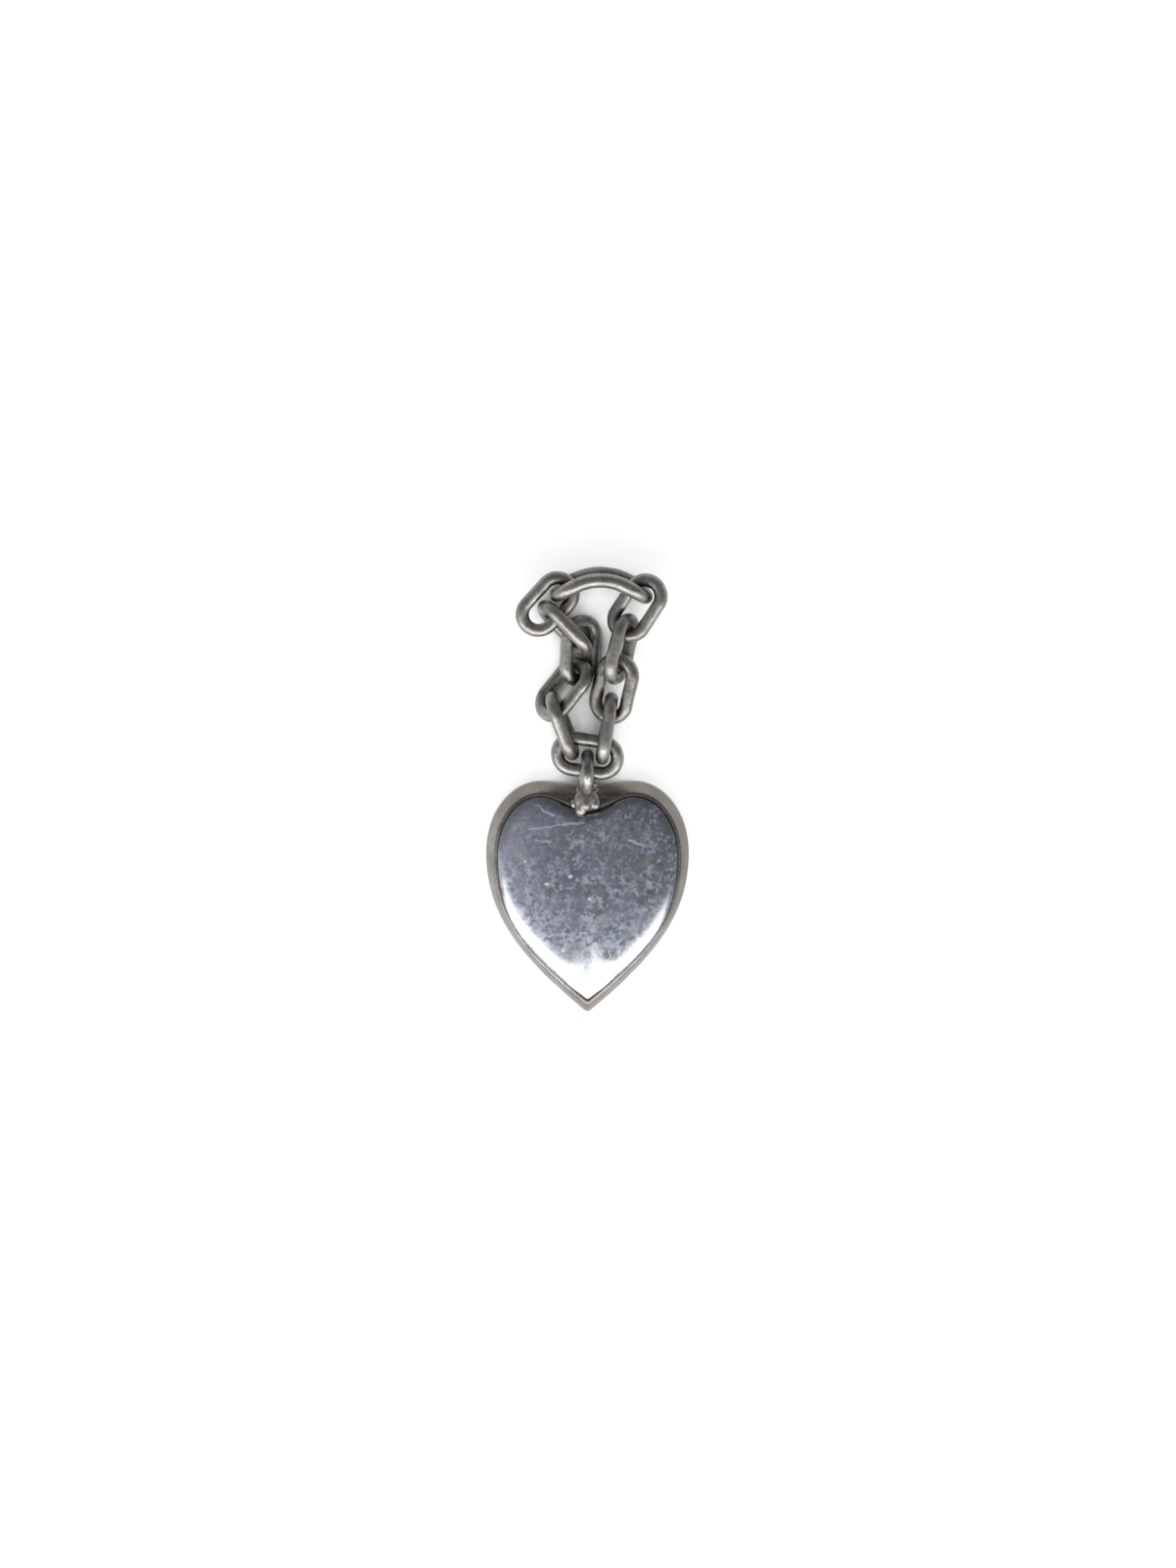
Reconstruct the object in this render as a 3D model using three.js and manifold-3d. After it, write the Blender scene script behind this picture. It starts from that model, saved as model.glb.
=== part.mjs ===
import * as THREE from "three";
import Module from "manifold-3d";

const wasm = await Module();
wasm.setup();

// All sizes are in millimetres. The heart lies on its flat back at z = 0, its domed stone looks
// along +Z and its chain leads off along +Y. The origin is on the back, on the heart's widest line.

// Outline of the heart at its back
const HEART_WIDTH = 20.0;
const LOBE_RISE = 7.1; // lobe tops above the widest line
const TIP_DROP = 16.1; // tip below the widest line
const LOBE_SPACING = 9.2; // between the two lobe tops
const CLEFT_DEPTH = 0.75; // dip between the lobes
const CLEFT_GROWTH = 0.7; // how much deeper the dip gets for each millimetre inwards
const FLANK_REACH = 6.3; // how far the flank keeps straight down from the widest line
const TIP_REACH = 8.6; // how far the flank keeps straight up from the tip
const TIP_HALF_ANGLE = 50; // degrees between a flank at the tip and the upright

// Setting: a flat back sheet, and a bezel with a sloped wall and a narrow lip round the stone
const BACK_THICKNESS = 0.6;
const BEZEL_HEIGHT = 2.0;
const BEZEL_LEAN = 0.85; // how far the sloped wall leans in
const LIP_WIDTH = 0.35;

// Stone: a heart with a flat base and a dome that is steep at the margin and flat in the middle
const STONE_GAP = 0.2; // kept between the stone and the bezel
const STONE_EDGE_DROP = 0.5; // edge of the dome below the lip
const STONE_CROWN = 1.3; // middle of the dome above its edge
const CROWN_POWER = 4; // higher keeps the middle flatter and the margin steeper
const CROWN_CROWDING = 1.6; // higher draws more of the dome's rings to the margin
const CROWN_EASE = 9; // points over which the dome's innermost rings are rounded

// Wire eye and its shank, soldered into the cleft
const EYE_WIRE = 1.2;
const EYE_PLAY = 0.85; // room for a link in the eye
const EYE_STANDOFF = 2.0; // eye centre beyond the cleft
const EYE_LIFT = 0.0; // eye centre above the lip of the bezel
const SHANK_DIAMETER = 2.1;
const SHANK_RISE = 0.4; // how far the shank reaches up past the wire of the eye
const SHANK_REACH = 0.8; // how far the shank reaches in over the cleft
const SOLDER_WIDTH = 3.2;
const SOLDER_LENGTH = 2.2;
const SOLDER_HEIGHT = 1.7;
const SOLDER_GAP = 0.2; // kept between the solder and what it holds

// Chain: oval links of round wire. The inside width follows the thickest wire linked through it.
const LINK_WIRE = 1.3;
const LINK_SIDE_PLAY = 0.45;
const LINK_INSIDE_LENGTH = 4.6;
const TOP_WIRE = 1.4; // the link at the top is larger, heavier and bent out of flat
const TOP_SIDE_PLAY = 0.55;
const TOP_INSIDE_LENGTH = 7.3;
const TOP_BOW = 1.8;
const RUNNING_GAP = 0.2; // clear space kept between any two wires
const FLOOR_GAP = 0.02; // lowest wires stay this far above the plane of the back

// How finely curves are cut
const CLEFT_STEPS = 7;
const LOBE_STEPS = 10;
const FLANK_STEPS = 14;
const CROWN_STEPS = 7;
const LINK_STEPS = 36;
const LINK_SIDES = 8;
const EYE_STEPS = 28;
const EYE_SIDES = 10;
const SOLDER_STEPS = 20;

const radians = THREE.MathUtils.degToRad;

// Right half of a heart from the cleft over the lobe to the tip, then the mirrored left half.
// Points run anticlockwise seen from +Z.
function heartOutline({ halfWidth, rise, drop, cleft }) {
  const lobe = LOBE_SPACING / 2;
  const half = [];
  for (let i = 0; i < CLEFT_STEPS; i++) {
    const part = i / CLEFT_STEPS;
    half.push(new THREE.Vector2(lobe * part, rise - (cleft * (1 + Math.cos(Math.PI * part))) / 2));
  }
  for (let i = 0; i < LOBE_STEPS; i++) {
    const angle = (Math.PI / 2) * (1 - i / LOBE_STEPS);
    half.push(new THREE.Vector2(lobe + (halfWidth - lobe) * Math.cos(angle), rise * Math.sin(angle)));
  }
  const tip = radians(TIP_HALF_ANGLE);
  const flank = new THREE.CubicBezierCurve(
    new THREE.Vector2(halfWidth, 0),
    new THREE.Vector2(halfWidth, -FLANK_REACH),
    new THREE.Vector2(TIP_REACH * Math.sin(tip), TIP_REACH * Math.cos(tip) - drop),
    new THREE.Vector2(0, -drop),
  );
  half.push(...flank.getPoints(FLANK_STEPS));
  const left = half.slice(1, -1).map((p) => new THREE.Vector2(-p.x, p.y));
  return [...left, ...half.reverse()];
}

// Outline set in from that of the back by one distance all round.
function insetOutline(inset) {
  return heartOutline({
    halfWidth: HEART_WIDTH / 2 - inset,
    rise: LOBE_RISE - inset,
    drop: TIP_DROP - inset / Math.sin(radians(TIP_HALF_ANGLE)),
    cleft: CLEFT_DEPTH + CLEFT_GROWTH * inset,
  });
}

// Height of an outline's dip on the centre line.
const cleftAt = (inset) => LOBE_RISE - inset - CLEFT_DEPTH - CLEFT_GROWTH * inset;

// Skin over a stack of rings with the same number of points each, in order, and from the last to
// the first if asked. A ring of one point closes to a tip.
function skin(rings, closeToFirst) {
  const positions = [];
  const starts = [];
  for (const ring of rings) {
    starts.push(positions.length / 3);
    for (const p of ring) positions.push(p.x, p.y, p.z);
  }
  const index = [];
  const last = closeToFirst ? rings.length : rings.length - 1;
  for (let r = 0; r < last; r++) {
    const a = starts[r];
    const b = starts[(r + 1) % rings.length];
    const countA = rings[r].length;
    const countB = rings[(r + 1) % rings.length].length;
    const count = Math.max(countA, countB);
    for (let i = 0; i < count; i++) {
      const j = (i + 1) % count;
      if (countB > 1) index.push(a + (i % countA), b + j, b + i);
      if (countA > 1) index.push(a + i, a + j, b + (j % countB));
    }
  }
  const geometry = new THREE.BufferGeometry();
  geometry.setAttribute("position", new THREE.Float32BufferAttribute(positions, 3));
  geometry.setIndex(index);
  return geometry;
}

const ringAt = (outline, z) => outline.map((p) => new THREE.Vector3(p.x, p.y, z));

const lipHeight = BACK_THICKNESS + BEZEL_HEIGHT;
const openingInset = BEZEL_LEAN + LIP_WIDTH;

// Sloped wall up to the lip, across it, down inside and back to the start.
function bezel() {
  const opening = insetOutline(openingInset);
  return skin(
    [
      ringAt(insetOutline(0), BACK_THICKNESS),
      ringAt(insetOutline(BEZEL_LEAN), lipHeight),
      ringAt(opening, lipHeight),
      ringAt(opening, BACK_THICKNESS),
    ],
    true,
  );
}

// Outline with each point moved to the middle of its neighbours, which rounds the tip and cleft.
function easedOutline(outline, reach) {
  const count = outline.length;
  return outline.map((_, i) => {
    const sum = new THREE.Vector2();
    for (let k = -reach; k <= reach; k++) sum.add(outline[(i + k + count) % count]);
    return sum.divideScalar(2 * reach + 1);
  });
}

// Domed heart on a flat base that lies on the back sheet. Its rings get rounder inwards.
function stone() {
  const outline = insetOutline(openingInset + STONE_GAP);
  const edgeHeight = lipHeight - STONE_EDGE_DROP;
  const rings = [
    [new THREE.Vector3(0, 0, BACK_THICKNESS)],
    ringAt(outline, BACK_THICKNESS),
    ringAt(outline, edgeHeight),
  ];
  for (let i = 1; i < CROWN_STEPS; i++) {
    const part = 1 - (i / CROWN_STEPS) ** CROWN_CROWDING;
    const height = edgeHeight + STONE_CROWN * (1 - part ** CROWN_POWER);
    const eased = easedOutline(outline, Math.round(CROWN_EASE * (1 - part)));
    rings.push(eased.map((p) => new THREE.Vector3(p.x * part, p.y * part, height)));
  }
  rings.push([new THREE.Vector3(0, 0, edgeHeight + STONE_CROWN)]);
  return skin(rings, false);
}

function backPlate() {
  const shape = new THREE.Shape(insetOutline(0));
  return new THREE.ExtrudeGeometry(shape, { depth: BACK_THICKNESS, bevelEnabled: false });
}

const WELD_STEP = 1e-4; // points nearer than this become one

// A three.js geometry as a solid for joining and cutting, and back.
function solid(geometry) {
  const welded = new Map();
  const vertices = [];
  const position = geometry.getAttribute("position");
  const order = geometry.index ? [...geometry.index.array] : [...Array(position.count).keys()];
  const triangles = order.map((i) => {
    const place = [position.getX(i), position.getY(i), position.getZ(i)];
    const p = place.map((v) => Math.round(v / WELD_STEP) * WELD_STEP + 0);
    const key = p.join(" ");
    if (!welded.has(key)) {
      welded.set(key, vertices.length / 3);
      vertices.push(...p);
    }
    return welded.get(key);
  });
  const kept = [];
  for (let i = 0; i < triangles.length; i += 3) {
    const [a, b, c] = triangles.slice(i, i + 3);
    if (a !== b && b !== c && c !== a) kept.push(a, b, c);
  }
  const mesh = new wasm.Mesh({
    numProp: 3,
    vertProperties: new Float32Array(vertices),
    triVerts: new Uint32Array(kept),
  });
  return new wasm.Manifold(mesh);
}

function geometryOf(body) {
  const mesh = body.getMesh();
  const geometry = new THREE.BufferGeometry();
  geometry.setAttribute("position", new THREE.Float32BufferAttribute(mesh.vertProperties, 3));
  geometry.setIndex([...mesh.triVerts]);
  return geometry;
}

const eyeHole = LINK_WIRE + EYE_PLAY;
const eyeRadius = (eyeHole + EYE_WIRE) / 2;
const cleftY = cleftAt(0);
const eyeCentre = new THREE.Vector3(0, cleftY + EYE_STANDOFF, lipHeight + EYE_LIFT);
const shankStart = new THREE.Vector3(0, eyeCentre.y - eyeRadius + SHANK_RISE, eyeCentre.z);

// The end of the shank lies over the sloped wall at the cleft, clear of it by the solder gap.
const wallSlope = BEZEL_HEIGHT / (cleftY - cleftAt(BEZEL_LEAN));
const wallClearance = SOLDER_GAP * Math.hypot(1, wallSlope);
const wallHeight = BACK_THICKNESS + SHANK_REACH * wallSlope;
const shankEnd = new THREE.Vector3(0, cleftY - SHANK_REACH, wallHeight + SHANK_DIAMETER / 2 + wallClearance);

// Straight shank with the diameter given, from the eye to its end over the cleft.
function shank(diameter) {
  const along = new THREE.Vector3().subVectors(shankEnd, shankStart);
  const rod = new THREE.CylinderGeometry(diameter / 2, diameter / 2, along.length(), EYE_SIDES * 2);
  const turned = new THREE.Quaternion().setFromUnitVectors(
    new THREE.Vector3(0, 1, 0),
    along.clone().normalize(),
  );
  const middle = new THREE.Vector3().addVectors(shankStart, shankEnd).multiplyScalar(0.5);
  rod.applyQuaternion(turned).translate(middle.x, middle.y, middle.z);
  return solid(rod);
}

function hangingEye() {
  const ring = new THREE.TorusGeometry(eyeRadius, EYE_WIRE / 2, EYE_SIDES, EYE_STEPS);
  ring.rotateY(Math.PI / 2).translate(eyeCentre.x, eyeCentre.y, eyeCentre.z);
  const hole = new THREE.CylinderGeometry(eyeHole / 2, eyeHole / 2, SHANK_DIAMETER * 2, EYE_STEPS);
  hole.rotateZ(Math.PI / 2).translate(eyeCentre.x, eyeCentre.y, eyeCentre.z);
  return geometryOf(shank(SHANK_DIAMETER).subtract(solid(hole)).add(solid(ring)));
}

// Lump of solder over the lip and the edge of the stone, cut clear of what it holds.
function solderBead() {
  const lump = new THREE.SphereGeometry(0.5, SOLDER_STEPS, SOLDER_STEPS / 2);
  lump.scale(SOLDER_WIDTH, SOLDER_LENGTH, SOLDER_HEIGHT);
  lump.translate(0, cleftAt(openingInset), lipHeight + SOLDER_GAP);
  let bead = solid(lump).subtract(shank(SHANK_DIAMETER + 2 * SOLDER_GAP));
  for (const held of [bezel(), stone()]) {
    bead = bead.subtract(solid(held)).subtract(solid(held).translate([0, 0, SOLDER_GAP]));
  }
  const pieces = bead.decompose().sort((a, b) => b.volume() - a.volume());
  return geometryOf(pieces[0]);
}

// Middle line of an oval link in its own frame: long along X, wide along Y, bowed along Z.
function linkPath(link, count) {
  const bend = (link.insideWidth + link.wire) / 2;
  const straight = link.insideLength - link.insideWidth;
  const arc = Math.PI * bend;
  const around = 2 * (straight + arc);
  const reach = (link.insideLength + link.wire) / 2;
  const points = [];
  for (let i = 0; i < count; i++) {
    let along = ((i + 0.5) / count) * around;
    const farSide = along >= around / 2;
    if (farSide) along -= around / 2;
    const point = new THREE.Vector3();
    if (along < straight) {
      point.set(along - straight / 2, -bend, 0);
    } else {
      const angle = (along - straight) / bend - Math.PI / 2;
      point.set(straight / 2 + bend * Math.cos(angle), bend * Math.sin(angle), 0);
    }
    if (farSide) point.set(-point.x, -point.y, 0);
    point.z = link.bow * (1 - (point.x / reach) ** 2);
    points.push(point);
  }
  return points;
}

// Round wire swept along a closed path.
function closedWire(path, diameter) {
  const count = path.length;
  const up = new THREE.Vector3(0, 0, 1);
  const rings = path.map((point, i) => {
    const ahead = new THREE.Vector3().subVectors(path[(i + 1) % count], path[(i + count - 1) % count]);
    const side = new THREE.Vector3().crossVectors(up, ahead).normalize();
    const across = new THREE.Vector3().crossVectors(ahead, side).normalize();
    const ring = [];
    for (let s = 0; s < LINK_SIDES; s++) {
      const angle = (2 * Math.PI * s) / LINK_SIDES;
      const offset = side.clone().multiplyScalar(Math.cos(angle)).addScaledVector(across, Math.sin(angle));
      ring.push(point.clone().addScaledVector(offset, diameter / 2));
    }
    return ring;
  });
  return skin(rings, true);
}

const plainLink = {
  wire: LINK_WIRE,
  insideWidth: Math.max(LINK_WIRE, TOP_WIRE) + LINK_SIDE_PLAY,
  insideLength: LINK_INSIDE_LENGTH,
  bow: 0,
};
const topLink = {
  wire: TOP_WIRE,
  insideWidth: LINK_WIRE + TOP_SIDE_PLAY,
  insideLength: TOP_INSIDE_LENGTH,
  bow: TOP_BOW,
};

// Where each link lies in the loop, going clockwise from the top: place beyond the eye centre in
// inside lengths of a plain link, then the heading of its long axis and its roll about it in degrees.
const LOOP = [
  { name: "link_top", form: topLink, x: 1.17, y: 4.96, heading: -10, roll: -100 },
  { name: "link_right_4", form: plainLink, x: 1.22, y: 3.17, heading: -118, roll: 10 },
  { name: "link_right_3", form: plainLink, x: 0.13, y: 2.48, heading: -90, roll: -56 },
  { name: "link_right_2", form: plainLink, x: 0.74, y: 1.78, heading: -106, roll: 56 },
  { name: "link_right_1", form: plainLink, x: 0.13, y: 0.96, heading: -98, roll: -55 },
  { name: "link_through_eye", form: plainLink, x: -0.78, y: 0.39, heading: 136, roll: 0 },
  { name: "link_left_1", form: plainLink, x: -1, y: 0.74, heading: 86, roll: 52 },
  { name: "link_left_2", form: plainLink, x: -0.57, y: 1.7, heading: 100, roll: -38 },
  { name: "link_left_3", form: plainLink, x: 0.3, y: 2.74, heading: 150, roll: 30 },
  { name: "link_left_4", form: plainLink, x: -0.57, y: 3.09, heading: 120, roll: -60 },
  { name: "link_left_5", form: plainLink, x: -1.43, y: 2.87, heading: 62, roll: 15 },
];
const EYE_LINK = 5; // which of them hangs in the eye
const PULL_TURNS = 1800; // turns in which the links are drawn to their places
const CLEAR_TURNS = 1200; // turns after that, in which the wires only clear each other
const PULL = 0.012; // share of the way to its place that a link moves each turn
const SINK = 0.004; // how far a link sinks towards the table each turn
const SETTLE_POINTS = 56;
const RING_TIGHTNESS = 0.9; // spacing of the links at the start, as a share of their pitch
const LINK_GYRATION = 0.4; // radius of gyration of a link, as a share of its inside length

// A link on the way from the plain form to its own.
function partlyFormed(form, share) {
  const between = (size) => THREE.MathUtils.lerp(plainLink[size], form[size], share);
  return {
    wire: between("wire"),
    insideWidth: between("insideWidth"),
    insideLength: between("insideLength"),
    bow: between("bow"),
  };
}

function movePoints(body) {
  body.points.forEach((p, i) => p.copy(body.path[i]).applyQuaternion(body.turn).add(body.place));
}

function nearest(a, b) {
  let best = Infinity;
  let pair = null;
  for (const p of a.points) {
    for (const q of b.points) {
      const distance = p.distanceToSquared(q);
      if (distance < best) {
        best = distance;
        pair = [p, q];
      }
    }
  }
  return { distance: Math.sqrt(best), pair };
}

// Moves and turns a free body as a push at one of its points would.
function nudge(body, point, direction, amount) {
  if (body.fixed) return;
  const lever = new THREE.Vector3().subVectors(point, body.place).cross(direction);
  body.place.addScaledVector(direction, amount);
  const angle = (lever.length() * amount) / body.spread;
  if (angle !== 0) {
    const turn = new THREE.Quaternion().setFromAxisAngle(lever.clone().normalize(), angle);
    body.turn.premultiply(turn).normalize();
  }
  movePoints(body);
}

function ease(body, point, direction) {
  if (body.fixed) return 0;
  const lever = new THREE.Vector3().subVectors(point, body.place).cross(direction);
  return 1 + lever.lengthSq() / body.spread;
}

function pushApart(a, b) {
  const need = (a.wire + b.wire) / 2 + RUNNING_GAP;
  if (a.place.distanceTo(b.place) > a.reach + b.reach + need) return;
  const { distance, pair } = nearest(a, b);
  if (distance >= need) return;
  const [p, q] = pair.map((point) => point.clone());
  const direction = new THREE.Vector3().subVectors(p, q).divideScalar(distance);
  const amount = (need - distance) / (ease(a, p, direction) + ease(b, q, direction));
  nudge(a, p, direction, amount);
  nudge(b, q, direction, -amount);
}

function liftOffTable(body) {
  const lowest = body.points.reduce((low, p) => (p.z < low.z ? p : low)).clone();
  const depth = body.wire / 2 + FLOOR_GAP - lowest.z;
  const up = new THREE.Vector3(0, 0, 1);
  if (depth > 0) nudge(body, lowest, up, depth / ease(body, lowest, up));
}

// Lays the loop out as an even ring of linked links threaded on the eye, then draws every link
// to its place while the wires stay clear of each other and of the table.
function layChain() {
  const count = LOOP.length;
  const spacing = (LINK_INSIDE_LENGTH - RUNNING_GAP) * RING_TIGHTNESS;
  const apothem = spacing / 2 / Math.tan(Math.PI / count);
  const threaded = (plainLink.insideWidth + plainLink.wire) / 2;
  const middle = eyeCentre.clone().add(new THREE.Vector3(0, threaded + apothem, 0));
  const links = LOOP.map((row, i) => {
    const angle = -Math.PI / 2 - ((i - EYE_LINK) * 2 * Math.PI) / count;
    const path = linkPath(partlyFormed(row.form, 0), SETTLE_POINTS);
    const facing = (roll, heading) =>
      new THREE.Quaternion().setFromEuler(new THREE.Euler(roll, 0, heading, "ZYX"));
    const body = {
      ...row,
      path,
      wire: row.form.wire,
      reach: (row.form.insideLength + row.form.wire) / 2,
      spread: (row.form.insideLength * LINK_GYRATION) ** 2,
      place: new THREE.Vector3(Math.cos(angle), Math.sin(angle), 0).multiplyScalar(apothem).add(middle),
      turn: facing(radians(row.roll), angle - Math.PI / 2),
      goalPlace: new THREE.Vector3(row.x, row.y, 0).multiplyScalar(LINK_INSIDE_LENGTH).add(eyeCentre),
      goalTurn: facing(radians(row.roll), radians(row.heading)),
      points: path.map(() => new THREE.Vector3()),
    };
    movePoints(body);
    return body;
  });
  const eyePath = [];
  for (let i = 0; i < SETTLE_POINTS; i++) {
    const angle = (2 * Math.PI * i) / SETTLE_POINTS;
    eyePath.push(new THREE.Vector3(0, eyeRadius * Math.cos(angle), eyeRadius * Math.sin(angle)));
  }
  const eye = {
    fixed: true,
    wire: EYE_WIRE,
    reach: eyeRadius,
    place: eyeCentre,
    points: eyePath.map((p) => p.clone().add(eyeCentre)),
  };
  const bodies = [...links, eye];
  for (let turn = 0; turn < PULL_TURNS + CLEAR_TURNS; turn++) {
    if (turn < PULL_TURNS) {
      const formed = Math.min(1, (2 * turn) / PULL_TURNS);
      for (const link of links) {
        link.path = linkPath(partlyFormed(link.form, formed), SETTLE_POINTS);
        link.goalPlace.z = link.place.z - SINK / PULL;
        link.place.lerp(link.goalPlace, PULL);
        link.turn.slerp(link.goalTurn, PULL);
        movePoints(link);
      }
    }
    for (let i = 0; i < bodies.length; i++) {
      for (let j = i + 1; j < bodies.length; j++) pushApart(bodies[i], bodies[j]);
    }
    links.forEach(liftOffTable);
  }
  return links;
}

const silver = new THREE.MeshStandardMaterial({ color: 0xb0aeab, metalness: 1, roughness: 0.4 });
const blueStone = new THREE.MeshStandardMaterial({ color: 0x7d8494, metalness: 0, roughness: 0.15 });
const group = new THREE.Group();

function add(name, geometry, material) {
  const mesh = new THREE.Mesh(geometry, material);
  mesh.name = name;
  group.add(mesh);
  return mesh;
}

add("heart_back_plate", backPlate(), silver);
add("heart_bezel", bezel(), silver);
add("heart_stone", stone(), blueStone);
add("hanging_eye", hangingEye(), silver);
add("solder_bead", solderBead(), silver);
for (const link of layChain()) {
  const mesh = add(link.name, closedWire(linkPath(link.form, LINK_STEPS), link.wire), silver);
  mesh.position.copy(link.place);
  mesh.quaternion.copy(link.turn);
}

export default group;
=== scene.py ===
import math

import bmesh
import bpy
import numpy as np
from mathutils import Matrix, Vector, kdtree, noise


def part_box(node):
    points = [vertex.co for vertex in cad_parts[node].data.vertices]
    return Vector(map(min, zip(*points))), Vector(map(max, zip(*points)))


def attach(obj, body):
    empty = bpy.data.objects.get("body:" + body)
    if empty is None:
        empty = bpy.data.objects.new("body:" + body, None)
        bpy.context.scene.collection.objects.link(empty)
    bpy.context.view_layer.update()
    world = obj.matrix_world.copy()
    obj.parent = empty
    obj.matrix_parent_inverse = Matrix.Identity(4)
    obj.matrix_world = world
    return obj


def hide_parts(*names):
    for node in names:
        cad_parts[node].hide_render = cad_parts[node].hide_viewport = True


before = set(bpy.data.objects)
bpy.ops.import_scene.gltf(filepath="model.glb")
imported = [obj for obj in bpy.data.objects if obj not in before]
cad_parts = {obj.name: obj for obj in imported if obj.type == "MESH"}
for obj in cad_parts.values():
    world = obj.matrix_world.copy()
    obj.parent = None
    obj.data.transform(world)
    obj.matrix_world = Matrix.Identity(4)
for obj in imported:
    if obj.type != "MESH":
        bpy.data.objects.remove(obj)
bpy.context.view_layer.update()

# Shapes are worked out in millimetres and written to the meshes in metres.
MM = 0.001

# The unevenness of the handwork is the same in each run.
noise.seed_set(7)

# Outline of the heart, as in the part's source
LOBE_SPACING = 9.2
CLEFT_DEPTH = 0.75
CLEFT_GROWTH = 0.7
FLANK_REACH = 6.3
TIP_REACH = 8.6
TIP_HALF_ANGLE = math.radians(50)
BEZEL_LEAN = 0.85
LIP_WIDTH = 0.35

bezel_low, bezel_high = (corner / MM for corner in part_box("heart_bezel"))
_, stone_high = (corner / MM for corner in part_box("heart_stone"))
HALF_WIDTH = bezel_high.x
LOBE_RISE = bezel_high.y
TIP_DROP = -bezel_low.y
PLATE_TOP = bezel_low.z
LIP_HEIGHT = bezel_high.z
STONE_TOP = stone_high.z
OPENING_INSET = BEZEL_LEAN + LIP_WIDTH

OUTLINE_STEPS = 420
CURVE_STEPS = 80
FINE_STEPS = 4  # points of the finer outline for each point that is kept
TIP_ROUNDING = 0.7  # length of outline over which the tip and cleft are eased


def raw_outline(inset):
    """Heart outline set in by one distance, anticlockwise from the cleft, much finer than is needed."""
    half_width = HALF_WIDTH - inset
    rise = LOBE_RISE - inset
    drop = TIP_DROP - inset / math.sin(TIP_HALF_ANGLE)
    cleft = CLEFT_DEPTH + CLEFT_GROWTH * inset
    lobe = LOBE_SPACING / 2
    part = np.linspace(0, 1, CURVE_STEPS, endpoint=False)
    dip = np.stack([lobe * part, rise - cleft * (1 + np.cos(np.pi * part)) / 2], 1)
    angle = np.pi / 2 * (1 - part)
    bow = np.stack([lobe + (half_width - lobe) * np.cos(angle), rise * np.sin(angle)], 1)
    t = np.linspace(0, 1, 2 * CURVE_STEPS + 1)[:, None]
    ends = [
        np.array([half_width, 0]),
        np.array([half_width, -FLANK_REACH]),
        np.array([TIP_REACH * math.sin(TIP_HALF_ANGLE), TIP_REACH * math.cos(TIP_HALF_ANGLE) - drop]),
        np.array([0, -drop]),
    ]
    flank = sum(
        weight * end
        for weight, end in zip(((1 - t) ** 3, 3 * t * (1 - t) ** 2, 3 * t * t * (1 - t), t**3), ends)
    )
    right = np.concatenate([dip, bow, flank])
    left = right[1:-1] * [-1, 1]
    return np.concatenate([left, right[::-1]])


def outline(inset):
    """Heart outline with evenly spaced points, its tip and cleft slightly rounded."""
    raw = raw_outline(inset)
    closed = np.concatenate([raw, raw[:1]])
    along = np.concatenate([[0], np.cumsum(np.linalg.norm(np.diff(closed, axis=0), axis=1))])
    fine = OUTLINE_STEPS * FINE_STEPS
    at = np.linspace(0, along[-1], fine, endpoint=False)
    even = np.stack([np.interp(at, along, closed[:, axis]) for axis in (0, 1)], 1)
    return eased(even, TIP_ROUNDING / 2)[::FINE_STEPS]


def eased(points, reach):
    """Closed line with each point moved to the mean of those within a reach along it."""
    pitch = np.linalg.norm(np.diff(points, axis=0), axis=1).mean()
    steps = max(1, round(reach / pitch))
    return sum(np.roll(points, shift, axis=0) for shift in range(-steps, steps + 1)) / (2 * steps + 1)


def rounded_profile(corners, cuts, steps):
    """Open profile through the corners, each inner corner cut back by its length and curved."""
    corners = [np.array(c, float) for c in corners]
    points = [corners[0]]
    for before, corner, after, cut in zip(corners, corners[1:], corners[2:], cuts):
        start = corner + (before - corner) / np.linalg.norm(before - corner) * cut
        end = corner + (after - corner) / np.linalg.norm(after - corner) * cut
        for i in range(steps + 1):
            t = i / steps
            points.append((1 - t) ** 2 * start + 2 * t * (1 - t) * corner + t * t * end)
    points.append(corners[-1])
    return points


def ring(points, height):
    return np.concatenate([points, np.full((len(points), 1), height)], 1)


def skinned(rings, closed):
    """Vertices and faces of a skin over rings of points; a ring of one point closes to a tip."""
    vertices = np.concatenate(rings)
    starts = np.cumsum([0] + [len(r) for r in rings])
    faces = []
    pairs = list(zip(range(len(rings)), range(1, len(rings))))
    if closed:
        pairs.append((len(rings) - 1, 0))
    for a, b in pairs:
        count = max(len(rings[a]), len(rings[b]))
        for i in range(count):
            j = (i + 1) % count
            if len(rings[a]) == 1:
                faces.append((starts[a], starts[b] + j, starts[b] + i))
            elif len(rings[b]) == 1:
                faces.append((starts[a] + i, starts[a] + j, starts[b]))
            else:
                faces.append((starts[a] + i, starts[a] + j, starts[b] + j, starts[b] + i))
    return vertices, faces


def made(name, vertices, faces, sharp_angle=None):
    """A smooth-shaded object from points in millimetres."""
    mesh = bpy.data.meshes.new(name)
    mesh.from_pydata((np.asarray(vertices) * MM).tolist(), [], [tuple(int(i) for i in f) for f in faces])
    shell = bmesh.new()
    shell.from_mesh(mesh)
    bmesh.ops.recalc_face_normals(shell, faces=shell.faces)
    shell.to_mesh(mesh)
    shell.free()
    mesh.shade_smooth()
    if sharp_angle is not None:
        mesh.set_sharp_from_angle(angle=math.radians(sharp_angle))
    piece = bpy.data.objects.new(name, mesh)
    bpy.context.scene.collection.objects.link(piece)
    return piece


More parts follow.
